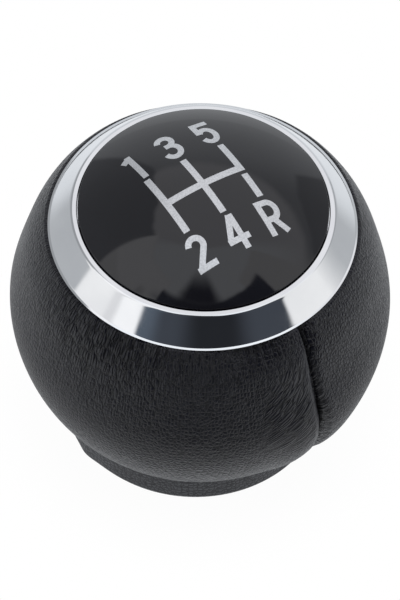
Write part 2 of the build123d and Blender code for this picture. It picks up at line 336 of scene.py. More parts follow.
# What bright surfaces mirror of the floor: plainly lit with some glow close to the knob, all glow far off
FLOOR_NEAR_GLOW = 0.85
FLOOR_NEAR = (34.0 * MM, 22.0 * MM)
FLOOR_FAR = (31.0 * MM, 64.0 * MM)
FLOOR_FAINT = (90.0 * MM, 260.0 * MM)  # the glow falls to the tent wall's level between these distances
FLOOR_FRONT_LEFT = (-60.0, -10.0)  # and is dim towards the camera, between these degrees round
FLOOR_FRONT_RIGHT = (60.0, 24.0)
FLOOR_FRONT = (26.0 * MM, 45.0 * MM)  # and from these distances on
TOP_LIGHT_HEIGHT = 1.2
TOP_LIGHT_SIZE = 1.4
TOP_LIGHT_POWER = 3.0


def set_inputs(tree, made, inputs):
    """Set a node's inputs. A value that is a socket is linked."""
    for key, value in inputs.items():
        if isinstance(value, bpy.types.NodeSocket):
            tree.links.new(value, made.inputs[key])
        else:
            made.inputs[key].default_value = value


def node(tree, kind, inputs=None, **settings):
    """Add a node to a tree, with its settings and inputs."""
    made = tree.nodes.new(kind)
    for key, value in settings.items():
        setattr(made, key, value)
    set_inputs(tree, made, inputs or {})
    return made


def math_node(tree, operation, first, second=0.0, third=0.0, clamp=False):
    made = node(tree, "ShaderNodeMath", {0: first, 1: second, 2: third}, operation=operation, use_clamp=clamp)
    return made.outputs[0]


def times(tree, first, *others):
    for other in others:
        first = math_node(tree, "MULTIPLY", first, other)
    return first


def minus(tree, first, second):
    return math_node(tree, "SUBTRACT", first, second)


def axes_of(tree, vector):
    return node(tree, "ShaderNodeSeparateXYZ", {0: vector}).outputs


def noise(tree, place, scale, detail):
    return node(tree, "ShaderNodeTexNoise", {"Vector": place, "Scale": scale, "Detail": detail}).outputs


def vector_node(tree, operation, first, second):
    other = "Scale" if operation == "SCALE" else 1
    return node(tree, "ShaderNodeVectorMath", {0: first, other: second}, operation=operation).outputs[0]


def turned_vector(tree, vector, turn):
    """A vector turned about Z."""
    made = node(tree, "ShaderNodeVectorRotate", {"Vector": vector, "Angle": turn}, rotation_type="Z_AXIS")
    return made.outputs[0]


def ramp(tree, value, low, high, start=0.0, end=1.0):
    """A smooth step from start to end as value goes from low to high."""
    made = node(
        tree,
        "ShaderNodeMapRange",
        {"Value": value, "From Min": low, "From Max": high, "To Min": start, "To Max": end},
        interpolation_type="SMOOTHSTEP",
    )
    return made.outputs["Result"]


def blend(tree, factor, first, second):
    """A colour between two, each a socket or a plain colour."""
    ends = [c if isinstance(c, bpy.types.NodeSocket) else (*c, 1.0) for c in (first, second)]
    return node(tree, "ShaderNodeMix", {0: factor, 6: ends[0], 7: ends[1]}, data_type="RGBA").outputs[2]


def new_group(name, kind, inputs, outputs):
    """An empty node group with its sockets, as (tree, input sockets)."""
    tree = bpy.data.node_groups.new(name, kind)
    kinds = {"Vector": "NodeSocketVector", "Geometry": "NodeSocketGeometry"}
    for way, labels in (("INPUT", inputs), ("OUTPUT", outputs)):
        for label in labels:
            tree.interface.new_socket(label, in_out=way, socket_type=kinds.get(label, "NodeSocketFloat"))
    return tree, tree.nodes.new("NodeGroupInput").outputs


def pebble_group():
    """Leather grain: rounded cells of a given size, parted by narrow valleys."""
    flank_width = 0.42
    valley_width = 0.14
    fine_height = 0.2
    labels = ["Vector", "Cell", "Warp"]
    tree, entry = new_group("pebble_grain", "ShaderNodeTree", labels, ["Height", "Valley"])
    finer = math_node(tree, "DIVIDE", 1.0, entry["Cell"])
    place = vector_node(tree, "SCALE", entry["Vector"], finer)
    stray = noise(tree, place, 0.7, 2.0)["Color"]
    stray = vector_node(tree, "SUBTRACT", stray, (0.5, 0.5, 0.5))
    place = vector_node(tree, "ADD", place, vector_node(tree, "SCALE", stray, entry["Warp"]))
    edge = node(
        tree,
        "ShaderNodeTexVoronoi",
        {"Vector": place, "Scale": 1.0, "Randomness": 0.62},
        feature="DISTANCE_TO_EDGE",
    ).outputs["Distance"]
    flank = minus(tree, 1.0, math_node(tree, "DIVIDE", edge, flank_width, clamp=True))
    pillow = minus(tree, 1.0, times(tree, flank, flank))
    fine = noise(tree, place, 1.7, 2.0)["Fac"]
    height = math_node(tree, "MULTIPLY_ADD", fine, fine_height, pillow)
    valley = ramp(tree, edge, 0.0, valley_width, 1.0, 0.0)
    node(tree, "NodeGroupOutput", {"Height": height, "Valley": valley})
    return tree


def mottle_group():
    """A slow, cloudy change between two values over a surface."""
    tree, entry = new_group("mottle", "ShaderNodeTree", ["Vector", "Size", "Low", "High"], ["Value"])
    finer = math_node(tree, "DIVIDE", 1.0, entry["Size"])
    clear = ramp(tree, noise(tree, entry["Vector"], finer, 3.0)["Fac"], 0.3, 0.7)
    spread = minus(tree, entry["High"], entry["Low"])
    node(tree, "NodeGroupOutput", {"Value": math_node(tree, "MULTIPLY_ADD", clear, spread, entry["Low"])})
    return tree


pebble = pebble_group()
mottle = mottle_group()


def use_group(tree, group, inputs):
    return node(tree, "ShaderNodeGroup", inputs, node_tree=group).outputs


def clouds(tree, place, size, low=0.0, high=1.0):
    return use_group(tree, mottle, {"Vector": place, "Size": size, "Low": low, "High": high})["Value"]


def new_material(name):
    """A material with one Principled shader, as (material, tree, shader, object coordinates)."""
    material = bpy.data.materials.new(name)
    material.use_nodes = True
    tree = material.node_tree
    shader = tree.nodes["Principled BSDF"]
    place = node(tree, "ShaderNodeTexCoord").outputs["Object"]
    return material, tree, shader, place


def bump(tree, shader, height, distance, strength=1.0):
    made = node(tree, "ShaderNodeBump", {"Height": height, "Distance": distance, "Strength": strength})
    tree.links.new(made.outputs["Normal"], shader.inputs["Normal"])


def leather_finish():
    material, tree, shader, place = new_material("black_leather")

    def stored(name, key="Fac"):
        return node(tree, "ShaderNodeAttribute", attribute_name=name).outputs[key]

    skin = stored("skin", "Vector")
    seam_shade = stored("seam_shade")
    below = axes_of(tree, skin)["Y"]
    spoke = vector_node(tree, "SUBTRACT", skin, (*CREASE_CENTRE, 0.0))
    spoke_length = node(tree, "ShaderNodeVectorMath", {0: spoke}, operation="LENGTH").outputs["Value"]
    spoke_axes = axes_of(tree, spoke)
    spoke_turn = math_node(tree, "ARCTAN2", spoke_axes["Y"], spoke_axes["X"])
    curve = times(tree, spoke_turn, CREASE_ROUND * CURVED_RUN)
    places = {
        "upright": vector_node(tree, "MULTIPLY", skin, (1.0, UPRIGHT_RUN, 1.0)),
        "even": place,
        "drawn": vector_node(tree, "MULTIPLY", skin, (1.0, DRAWN_RUN, 1.0)),
        "curved": node(tree, "ShaderNodeCombineXYZ", {0: spoke_length, 1: curve}).outputs[0],
    }
    grains = []
    for key, (cell, warp) in GRAIN_CELLS.items():
        grains.append(use_group(tree, pebble, {"Vector": places[key], "Cell": cell, "Warp": warp}))
    coarse = math_node(tree, "MAXIMUM", ramp(tree, below, *COARSE_GRAIN), stored("back"))
    shares = [coarse, stored("drawn"), ramp(tree, stored("crease"), *CURVED_SHARE)]
    loose = minus(tree, 1.0, stored("taut"))
    rough = math_node(tree, "MULTIPLY_ADD", stored("gather"), GATHER_ROUGH, loose)
    rough = math_node(tree, "MULTIPLY_ADD", coarse, COARSE_ROUGH, rough)
    mixed = {}
    for key, strength in {"Height": rough, "Valley": loose}.items():
        value = grains[0][key]
        for grain, share in zip(grains[1:], shares):
            value = node(tree, "ShaderNodeMix", {0: share, 2: value, 3: grain[key]}).outputs[0]
        mixed[key] = times(tree, value, strength)
    top = blend(tree, clouds(tree, place, LEATHER_CLOUD), *LEATHER_COLOURS)
    # Painted shade: the base colour darkens in the grain's valleys
    valley_shade = times(tree, mixed["Valley"], LEATHER_VALLEY_SHADE_SHARE)
    # Painted shade darkens the base colour deep in the seam
    colour = blend(tree, seam_shade, blend(tree, valley_shade, top, LEATHER_VALLEY_SHADE), LEATHER_SEAM_SHADE)
    dull = math_node(tree, "MAXIMUM", ramp(tree, mixed["Valley"], 0.0, 1.0, *LEATHER_ROUGHNESS), seam_shade)
    set_inputs(tree, shader, {"Base Color": colour, "Roughness": dull})
    set_inputs(tree, shader, {"Specular IOR Level": LEATHER_SPECULAR})
    bump(tree, shader, mixed["Height"], LEATHER_BUMP)
    return material


def collar_finish():
    material, tree, shader, place = new_material("grained_plastic")
    grain = use_group(tree, pebble, {"Vector": place, **COLLAR_GRAIN})
    top = blend(tree, clouds(tree, place, COLLAR_CLOUD), *COLLAR_COLOURS)
    # Painted shade: the base colour darkens in the grain's valleys
    valley_shade = times(tree, grain["Valley"], COLLAR_VALLEY_SHADE_SHARE)
    dull = ramp(tree, grain["Valley"], 0.0, 1.0, *COLLAR_ROUGHNESS)
    set_inputs(tree, shader, {"Base Color": blend(tree, valley_shade, top, COLLAR_VALLEY_SHADE), "Roughness": dull})
    bump(tree, shader, grain["Height"], COLLAR_BUMP)
    return material


def clouded_finish(name):
    """One of the other finishes, by its name."""
    sizes = FINISHES[name]
    material, tree, shader, place = new_material(name)
    tint = clouds(tree, place, sizes["cloud"])
    if "shine_cloud" in sizes:
        dull = clouds(tree, place, sizes["shine_cloud"], *sizes["roughness"])
    else:
        dull = ramp(tree, tint, 0.0, 1.0, *sizes["roughness"])
    set_inputs(tree, shader, {"Base Color": blend(tree, tint, *sizes["colours"]), "Roughness": dull})
    set_inputs(tree, shader, {"Metallic": sizes.get("metallic", 0.0)})
    if "noise" in sizes:
        bump(tree, shader, noise(tree, place, *sizes["noise"])["Fac"], *sizes["bump"])
    return material


def thread_finish():
    material, tree, shader, place = new_material("black_thread")
    twist = node(tree, "ShaderNodeTexWave", {"Vector": place, "Scale": 1600.0, "Distortion": 2.0})
    colour = blend(tree, twist.outputs["Fac"], *THREAD_COLOURS)
    set_inputs(tree, shader, {"Base Color": colour, "Roughness": THREAD_ROUGHNESS})
    return material


def grid_faces(rows, columns, rows_close, columns_close):
    """Quads of a grid of points that is numbered row by row."""
    i = np.arange(rows if rows_close else rows - 1)
    j = np.arange(columns if columns_close else columns - 1)
    i, j = [k.ravel() for k in np.meshgrid(i, j, indexing="ij")]
    up = (i + 1) % rows * columns
    across = (j + 1) % columns
    return np.stack([i * columns + j, up + j, up + across, i * columns + across], axis=1)


def turned(section, steps, first=0.0, last=360.0):
    """A closed (r, z) section turned about the knob's axis, as points and faces. A part turn gets ends."""
    whole = last - first >= 360.0
    count = steps if whole else steps + 1
    angles = np.radians(first + (last - first) * np.arange(count) / steps)
    r, z = np.array(section).T
    across = np.outer(np.cos(angles), r)
    along = np.outer(np.sin(angles), r)
    points = np.stack([across, along, np.tile(z, (count, 1))], axis=-1).reshape(-1, 3)
    faces = grid_faces(count, len(r), whole, True).tolist()
    if not whole:
        end = (count - 1) * len(r)
        faces += [list(range(len(r))), list(range(end, end + len(r)))]
    return points, faces


def rounded(corners):
    """A closed outline from corners (r, z, radius), each with a radius turned into an arc."""
    outline = []
    for before, corner, after in zip(corners[-1:] + corners[:-1], corners, corners[1:] + corners[:1]):
        point = Vector(corner[:2])
        if not corner[2]:
            outline.append(tuple(point))
            continue
        back = (Vector(before[:2]) - point).normalized()
        on = (Vector(after[:2]) - point).normalized()
        half = back.angle(on) / 2
        centre = point + (back + on).normalized() * (corner[2] / math.sin(half))
        start = point + back * (corner[2] / math.tan(half)) - centre
        sweep = start.angle_signed(point + on * (corner[2] / math.tan(half)) - centre)
        hold = corner[2] * (1 / math.tan(half) + CORNER_HOLD)
        outline.append(tuple(point + back * hold))
        for step in range(ROUND_STEPS + 1):
            outline.append(tuple(centre + Matrix.Rotation(-sweep * step / ROUND_STEPS, 2) @ start))
        outline.append(tuple(point + on * hold))
    return outline


def new_object(name, data):
    made = bpy.data.objects.new(name, data)
    bpy.context.scene.collection.objects.link(made)
    return made


def build(name, shapes, material, merge=0.0):
    """One mesh object of closed shapes, each as (points, faces), with its faces pointing outwards."""
    mesh = bpy.data.meshes.new(name)
    points = []
    faces = []
    for some_points, some_faces in shapes:
        faces += [[k + len(points) for k in face] for face in some_faces]
        points += np.asarray(some_points).tolist()
    mesh.from_pydata(points, [], faces)
    work = bmesh.new()
    work.from_mesh(mesh)
    if merge:
        bmesh.ops.remove_doubles(work, verts=work.verts, dist=merge)
    bmesh.ops.recalc_face_normals(work, faces=work.faces)
    work.to_mesh(mesh)
    work.free()
    mesh.shade_smooth()
    mesh.materials.append(material)
    return new_object(name, mesh)


def stands_for(piece, cad_node):
    """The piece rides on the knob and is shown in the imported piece's place."""
    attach(piece, BODY)
    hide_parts(cad_node)


def eased(share):
    """A smooth step from 0 to 1."""
    share = np.clip(share, 0, 1)
    return share * share * (3 - 2 * share)


def arc_points(centre_r, centre_z, radius, start, end, count):
    """Points and outward directions along an arc in the (r, z) half plane, its last point left out."""
    angles = np.radians(start + (end - start) * np.arange(count) / count)
    out = np.stack([np.cos(angles), np.sin(angles)], axis=1)
    return np.array([centre_r, centre_z]) + radius * out, out


def line_points(start, end, out, count):
    share = np.arange(count)[:, None] / count
    return np.array(start) + (np.array(end) - np.array(start)) * share, np.tile(out, (count, 1))


def cover_section():
    """The cover's closed section: points, outward directions, ways down from the ring, and where it shows."""
    top_z = leather_high.z
    under_z = top_z - LEATHER
    low_z = leather_low.z
    inner = BALL_RADIUS - LEATHER
    top_centre_z = top_z - TOP_EDGE_ROUND
    low_centre_z = low_z + LOW_EDGE_ROUND
    top_rise = math.degrees(math.asin((top_centre_z - ball_z) / (BALL_RADIUS - TOP_EDGE_ROUND)))
    low_rise = math.degrees(math.asin((low_centre_z - ball_z) / (BALL_RADIUS - LOW_EDGE_ROUND)))
    top_centre_r = (BALL_RADIUS - TOP_EDGE_ROUND) * math.cos(math.radians(top_rise))
    low_centre_r = (BALL_RADIUS - LOW_EDGE_ROUND) * math.cos(math.radians(low_rise))
    inner_top_rise = math.degrees(math.asin((under_z - ball_z) / inner))
    inner_low_rise = math.degrees(math.asin((low_z + LEATHER - ball_z) / inner))
    runs = [
        line_points((TOP_TUCK_RADIUS, top_z), (top_centre_r, top_z), (0, 1), TUCK_ROWS),
        arc_points(top_centre_r, top_centre_z, TOP_EDGE_ROUND, 90, top_rise, EDGE_ROWS),
        arc_points(0, ball_z, BALL_RADIUS, top_rise, low_rise, OUTER_ROWS),
        arc_points(low_centre_r, low_centre_z, LOW_EDGE_ROUND, low_rise, -90, EDGE_ROWS),
        line_points((low_centre_r, low_z), (LOW_TUCK_RADIUS, low_z), (0, -1), TUCK_ROWS),
        line_points((LOW_TUCK_RADIUS, low_z), (LOW_TUCK_RADIUS, low_z + LEATHER), (-1, 0), 1),
        arc_points(0, ball_z, inner, inner_low_rise, inner_top_rise, INNER_ROWS),
        line_points(
            (inner * math.cos(math.radians(inner_top_rise)), under_z),
            (TOP_TUCK_RADIUS, under_z),
            (0, -1),
            UNDER_ROWS,
        ),
        line_points((TOP_TUCK_RADIUS, under_z), (TOP_TUCK_RADIUS, top_z), (-1, 0), 1),
    ]
    points = np.concatenate([run[0] for run in runs])
    out = np.concatenate([run[1] for run in runs])
    steps = np.linalg.norm(np.diff(points, axis=0, prepend=points[:1]), axis=1)
    down = np.cumsum(steps) - steps[: TUCK_ROWS + 1].sum()
    lengths = [len(run[0]) for run in runs]
    shown = np.zeros(len(points))
    shown[lengths[0] : sum(lengths[:4]) + 1] = 1.0
    return points, out, down, shown


def cover_columns():
    """Distances round the ball from the seam, fine beside it and coarse away from it."""
    half = [SEAM_GAP]
    step = FINE_COLUMN
    while half[-1] < girth / 2:
        half.append(half[-1] + step)
        step = min(step * COLUMN_GROWTH, COARSE_COLUMN)
    half = np.array(half)
    half = SEAM_GAP + (half - SEAM_GAP) * (girth / 2 - SEAM_GAP) / (half[-1] - SEAM_GAP)
    return np.concatenate([half, (girth - half)[-2::-1]])


def seam_sink(side, fall):
    """How far the cover drops into the seam. side is the distance to its right, fall the way down."""
    bend = LEFT_ROLL_TOP + (LEFT_ROLL - LEFT_ROLL_TOP) * eased(fall / LEFT_ROLL_REACH)
    left = np.minimum(np.maximum(-side, 0), bend)
    roll = np.sqrt(np.maximum(bend**2 - (bend - left) ** 2, 0)) - bend
    right = np.maximum(side, 0)
    low_share = eased(fall / RIGHT_SLOPE_REACH)
    depth, width = [top + (foot - top) * low_share for top, foot in zip(RIGHT_SLOPE_TOP, RIGHT_SLOPE_FOOT)]
    width = width * (1 + RIGHT_PUCKER * np.sin(2 * math.pi * RIGHT_PUCKER_COUNT * fall))
    groove = (SEAM_DEPTH - depth) * np.exp(-((right / RIGHT_GROOVE) ** RIGHT_GROOVE_POWER))
    slope = depth * np.exp(-((right / width) ** RIGHT_SLOPE_POWER))
    return np.where(side < 0, np.maximum(roll, -SEAM_DEPTH), -groove - slope)


def seam_swell(side, fall):
    """How far the panels swell beside the seam."""
    left = LEFT_PUFF * bell(side, -LEFT_PUFF_PLACE, LEFT_PUFF_WIDTH) * np.clip(fall / LEFT_PUFF_FULL, 0, 1)
    away = np.maximum(side, 0)
    right = RIGHT_PUFF * (1 - np.exp(-away / RIGHT_PUFF_RISE)) * np.exp(-away / RIGHT_PUFF_FADE)
    right = right * eased((fall - RIGHT_PUFF_START) / RIGHT_PUFF_GROW) * eased((1 - fall) / RIGHT_PUFF_END)
    return np.where(side < 0, left, right)


def bell(value, place, width):
    return np.exp(-(((value - place) / width) ** 2))


def finish_tree(tree, geometry, finish):
    """Make what a Geometry Nodes tree has built real, give it its material and put it out."""
    real = node(tree, "GeometryNodeRealizeInstances", {"Geometry": geometry})
    dressed = node(tree, "GeometryNodeSetMaterial", {"Geometry": real.outputs[0], "Material": finish})
    node(tree, "NodeGroupOutput", {"Geometry": dressed.outputs[0]})
    return tree


def folds_tree(finish):
    """Draws gathers, creases and a slight swell into the cover, along its stored outward directions."""
    tree, entry = new_group("leather_folds", "GeometryNodeTree", ["Geometry", *FOLD_SIZES], ["Geometry"])

    def stored(name, kind="FLOAT"):
        made = node(tree, "GeometryNodeInputNamedAttribute", {"Name": name}, data_type=kind)
        return made.outputs["Attribute"]

    skin = stored("skin", "FLOAT_VECTOR")

    def valleys(kind, turn, seed, width):
        """Thin valley lines of one kind, as deep as the cover stores for it."""
        axes = {"X": entry[kind + " spacing"], "Y": entry[kind + " length"], "Z": 1.0}
        size = node(tree, "ShaderNodeCombineXYZ", axes).outputs[0]
        place = vector_node(tree, "DIVIDE", turned_vector(tree, skin, turn), size)
        inputs = {"Vector": place, "W": seed, "Scale": 0.5, "Detail": 1.0}
        waves = node(tree, "ShaderNodeTexNoise", inputs, noise_dimensions="4D").outputs[0]
        middle = math_node(tree, "ABSOLUTE", minus(tree, waves, 0.5))
        line = ramp(tree, middle, 0.0, width, -1.0, 0.0)
        return times(tree, line, entry[kind + " depth"], stored(kind.lower()))

    gathers = valleys("Gather", 0.0, seed=3.0, width=0.10)
    creases = valleys("Crease", entry["Crease turn"], seed=8.0, width=0.08)
    finer = math_node(tree, "DIVIDE", 1.0, entry["Swell size"])
    swell = node(tree, "ShaderNodeTexNoise", {"Scale": finer, "Detail": 1.0}).outputs[0]
    swell = times(tree, minus(tree, swell, 0.5), entry["Swell"])
    height = math_node(tree, "ADD", math_node(tree, "ADD", gathers, creases), swell)
    height = times(tree, height, stored("shown"))
    offset = vector_node(tree, "SCALE", stored("outward", "FLOAT_VECTOR"), height)
    moved = node(tree, "GeometryNodeSetPosition", {"Geometry": entry["Geometry"], "Offset": offset})
    return finish_tree(tree, moved.outputs[0], finish)


def run_tree(piece, tree, sizes):
    """Put the piece's mesh through a tree with these sizes, and keep the result as its plain mesh."""
    modifier = piece.modifiers.new(tree.name, "NODES")
    modifier.node_group = tree
    for socket in tree.interface.items_tree:
        if socket.in_out == "INPUT" and socket.name in sizes:
            modifier[socket.identifier] = sizes[socket.name]
    graph = bpy.context.evaluated_depsgraph_get()
    result = bpy.data.meshes.new_from_object(piece.evaluated_get(graph))
    piece.modifiers.remove(modifier)
    base = piece.data
    piece.data = result
    bpy.data.meshes.remove(base)
    result.name = piece.name


def leather_cover():
    section, out, down, shown = cover_section()
    columns = cover_columns()
    down = down[:, None]
    shown = shown[:, None]
    fall = np.clip(down / down[shown > 0].max(), 0, 1)
    side = np.where(columns < girth / 2, columns, columns - girth)
    fade = np.clip(1 - np.abs(side) / SEAM_WANDER_REACH, 0, 1) ** 2
    path = np.polynomial.Polynomial.fit(list(SEAM_WANDER), list(SEAM_WANDER.values()), SEAM_WANDER_DEGREE)
    angle = math.radians(SEAM_TURN) + columns / BALL_RADIUS + np.radians(path(fall)) * fade
    true_side = section[:, :1] / BALL_RADIUS * side
    sink = seam_sink(true_side, fall)
    dip = eased(1 - fall / DIP_REACH) * bell(np.degrees(columns / BALL_RADIUS), DIP_TURN, DIP_WIDTH)
    puckers = bell(side, *PUCKER_ROUND) * np.sin(math.pi * side / PUCKER_SPACING) ** 2
    hollows = [
        WAIST_DEPTH * bell(fall, WAIST_PLACE, WAIST_WIDTH),
        DIP_DEPTH * dip,
        SAG_DEPTH * bell(down, *SAG_DOWN) * bell(side, *SAG_ROUND),
        PUCKER_DEPTH * bell(down, *PUCKER_DOWN) * puckers,
    ]
    height = (sink + seam_swell(true_side, fall) - sum(hollows)) * shown
    turn = np.stack([np.cos(angle), np.sin(angle)], axis=-1)

    def round_ball(flat):
        """(r, z) pairs down the section carried round to every column."""
        upright = np.tile(flat[:, None, 1:], (1, len(columns), 1))
        return np.concatenate([turn * flat[:, None, :1], upright], axis=-1)

    outward = round_ball(out)
    points = (round_ball(section) + outward * height[..., None]).reshape(-1, 3)
    finish = leather_finish()
    cover = build("leather_wrap", [(points, grid_faces(*height.shape, True, True).tolist())], finish)
    hang = np.maximum(down, 0)
    left_panel = np.clip(-side / PANEL_EDGE, 0, 1)
    back = eased((np.abs(side) - BACK_GRAIN[0]) / (BACK_GRAIN[1] - BACK_GRAIN[0]))
    gather = np.maximum(GATHER_EVEN, bell(side, GATHER_PLACE, GATHER_WIDTH)) * left_panel * (1 - back)
    drawn = DRAWN_EVEN + (1 - DRAWN_EVEN) * bell(side, GATHER_PLACE, DRAWN_WIDTH)
    drawn = drawn * np.maximum(left_panel, DRAWN_RIGHT) * (1 - back)
    shade_from, shade_to = SEAM_SHADE_DEPTHS
    fields = {
        "skin": np.stack(np.broadcast_arrays(side, down, 0.0), axis=-1),
        "outward": outward,
        "back": back,
        "gather": gather * bell(hang, 0, GATHER_REACH),
        "drawn": drawn * bell(hang, 0, DRAWN_REACH),
        "crease": bell(side, CREASE_PLACE[0], CREASE_SIZE[0]) * bell(down, CREASE_PLACE[1], CREASE_SIZE[1]),
        "taut": LEFT_TAUT * bell(true_side, -LEFT_ROLL / 2, LEFT_ROLL / 2) * (side < 0),
        # where the seam is deep: painted shade in the base colour, and dullness
        "seam_shade": np.clip((-sink / SEAM_DEPTH - shade_from) / (shade_to - shade_from), 0, 1),
        "shown": shown,
    }
    for name, values in fields.items():
        kind, key = ("FLOAT_VECTOR", "vector") if values.ndim == 3 else ("FLOAT", "value")
        spread = np.broadcast_to(values, height.shape + values.shape[2:])
        field = cover.data.attributes.new(name, kind, "POINT")
        field.data.foreach_set(key, np.ascontiguousarray(spread, dtype=np.float32).ravel())
    run_tree(cover, folds_tree(finish), FOLD_SIZES)
    stands_for(cover, "leather_cover")


def trim_ring():
    skirt_low_z = ring_low.z
    leg_top_z = skirt_low_z + LEG_LENGTH
    hook_z = skirt_low_z + HOOK_HEIGHT
    body = rounded(
        [
            (skirt_inner, leg_top_z, 0),
            (skirt_outer, leg_top_z, 0),
            (skirt_outer, ring_seat_z, 0),
            (ring_high.x, ring_seat_z, 0),
            (ring_high.x, ring_seat_z + RING_FOOT, 0),
            (ring_high.x - RING_FOOT_SLOPE[0], ring_seat_z + RING_FOOT + RING_FOOT_SLOPE[1], RING_FOOT_ROUND),
            (ring_bore + RING_LIP, ring_high.z, RING_CROWN_ROUND),
            (ring_bore, ring_high.z, RING_LIP_ROUND),
            (ring_bore, ledge_z, 0),
            (skirt_inner, ledge_z, 0),
        ]
    )
    leg = [
        (skirt_inner, skirt_low_z),
        (skirt_outer, skirt_low_z),
        (skirt_outer + HOOK_RISE, hook_z),
        (skirt_outer, hook_z),
        (skirt_outer, leg_top_z),
        (skirt_inner, leg_top_z),
    ]
    half_slot = math.degrees(math.asin(LEG_SLOT / 2 / skirt_outer))
    pitch = 360.0 / LEG_COUNT
    shapes = [turned(body, TURN_STEPS)]
    for i in range(LEG_COUNT):
        shapes.append(turned(leg, LEG_STEPS, pitch * i + half_slot, pitch * (i + 1) - half_slot))
    ring = build("chrome_ring", shapes, clouded_finish("bright_chrome"))
    ring.data.set_sharp_from_angle(angle=SHARP)
    stands_for(ring, "trim_ring")


def dome_height(r):
    return dome_z + np.sqrt(dome_radius**2 - np.asarray(r) ** 2)


def pattern_cap():
    reach = cap_radius - CAP_EDGE_ROUND
    dome = [(r, float(dome_height(r)), 0) for r in np.linspace(reach, 0, DOME_ROWS)]
    pad_z = float(dome_height(CAP_PAD_RADIUS)) - CAP_WALL
    rim_inner = cap_radius - CAP_RIM
    section = rounded(
        [
            (0, pad_z, 0),
            (CAP_PAD_RADIUS, pad_z, 0),
            (rim_inner, float(dome_height(rim_inner)) - CAP_WALL, 0),
            (rim_inner, ledge_z, 0),
            (cap_radius, ledge_z, 0),
            (cap_radius, cap_edge_z, CAP_CORNER_ROUND),
        ]
        + dome
    )
    pin = [(0, cap_low.z), (PIN_RADIUS, cap_low.z), (PIN_RADIUS, pad_z), (0, pad_z)]
    shapes = [turned(section, TURN_STEPS)]
    for i in range(PIN_COUNT):
        points, faces = turned(pin, PIN_STEPS)
        angle = math.radians(PIN_TURN + 360 * i / PIN_COUNT)
        points = points + np.array([PIN_CIRCLE * math.cos(angle), PIN_CIRCLE * math.sin(angle), 0])
        shapes.append((points, faces))
    cap = build("gloss_cap", shapes, clouded_finish("gloss_black"), merge=CAP_MERGE)
    cap.data.set_sharp_from_angle(angle=SHARP)
    stands_for(cap, "pattern_cap")


def arc(x, y, width, height, start, end):
    """Points along part of an ellipse with these half sizes, from one angle in degrees to another."""
    angles = np.radians(np.linspace(start, end, max(3, round(abs(end - start) / PRINT_ARC_STEP) + 1)))
    return [(x + width * math.cos(a), y + height * math.sin(a)) for a in angles]


def print_strokes():
    """Middle lines of the pattern and its figures, each as (width, points)."""
    left, middle, right = PRINT_COLUMNS
    bar_low = PRINT_BAR_Y - PRINT_BAR / 2
    last = right - PRINT_GAP_SHIFT
    lines = [
        (PRINT_LINE, [(left, PRINT_FOOT), (left, PRINT_TOP)]),
        (PRINT_LINE, [(middle, PRINT_FOOT), (middle, PRINT_TOP)]),
        (PRINT_LINE, [(right, bar_low), (right, PRINT_TOP)]),
        (PRINT_LINE, [(last, PRINT_FOOT), (last, PRINT_GAP_Y)]),
        (PRINT_BAR, [(left - PRINT_LINE / 2, PRINT_BAR_Y), (right + PRINT_LINE / 2, PRINT_BAR_Y)]),
    ]
    figures = [
        [(-5.47, 5.65), (-5.47, 10.70)],
        [(-5.40, 10.32), (-6.55, 9.68)],
        arc(-0.22, 9.62, 0.98, 0.95, 168, -90) + [(-0.70, 8.67)],
        [(-0.70, 8.67)] + arc(-0.22, 7.50, 1.08, 1.17, 90, -168),
        [(6.80, 10.38), (4.62, 10.38)],
        [(4.66, 10.80), (4.52, 8.30)],
        arc(5.50, 7.66, 1.02, 1.38, 150, -158),
        arc(-5.78, -7.12, 1.00, 1.04, 170, -32) + [(-6.72, -10.20)],
        [(-7.19, -10.24), (-4.32, -10.24)],
        [(0.10, -5.60), (-1.50, -9.10)],
        [(-1.85, -9.12), (1.36, -9.12)],
        [(0.24, -5.54), (0.24, -10.68)],
        [(4.42, -10.68), (4.42, -5.54)],
        [(4.42, -5.98), (5.55, -5.98)] + arc(5.55, -7.21, 1.02, 1.23, 90, -90)[1:] + [(4.42, -8.44)],
        [(5.40, -8.30), (6.62, -10.62)],
    ]
    return lines + [(PRINT_STROKE, points) for points in figures]


def ribbon(width, points):
    """A closed strip 2 high round the plane z = 0 along a middle line, as points and faces."""
    points = np.array(points)
    steps = np.diff(points, axis=0)
    steps /= np.linalg.norm(steps, axis=1)[:, None]
    before = np.concatenate([steps[:1], steps])
    after = np.concatenate([steps, steps[-1:]])
    mean = before + after
    mean /= np.linalg.norm(mean, axis=1)[:, None]
    stretch = 1 / np.sum(mean * before, axis=1)
    offset = np.stack([-mean[:, 1], mean[:, 0]], axis=1) * stretch[:, None] * width / 2
    count = len(points)
    corners = np.stack([points + offset, points - offset, points - offset, points + offset], axis=1)
    heights = np.tile([1.0, 1.0, -1.0, -1.0], (count, 1))
    shape = np.concatenate([corners, heights[..., None]], axis=-1).reshape(-1, 3)
    end = 4 * (count - 1)
    faces = grid_faces(count, 4, False, True).tolist()
    return shape, faces + [[0, 1, 2, 3], [end, end + 1, end + 2, end + 3]]


def union_tree(finish):
    """Joins overlapping closed strips into one shell."""
    tree, entry = new_group("joined_strokes", "GeometryNodeTree", ["Geometry"], ["Geometry"])
    joined = node(
        tree,
        "GeometryNodeMeshBoolean",
        {"Mesh 2": entry["Geometry"], "Self Intersection": True},
        operation="UNION",
        solver="EXACT",
    )
    return finish_tree(tree, joined.outputs[0], finish)


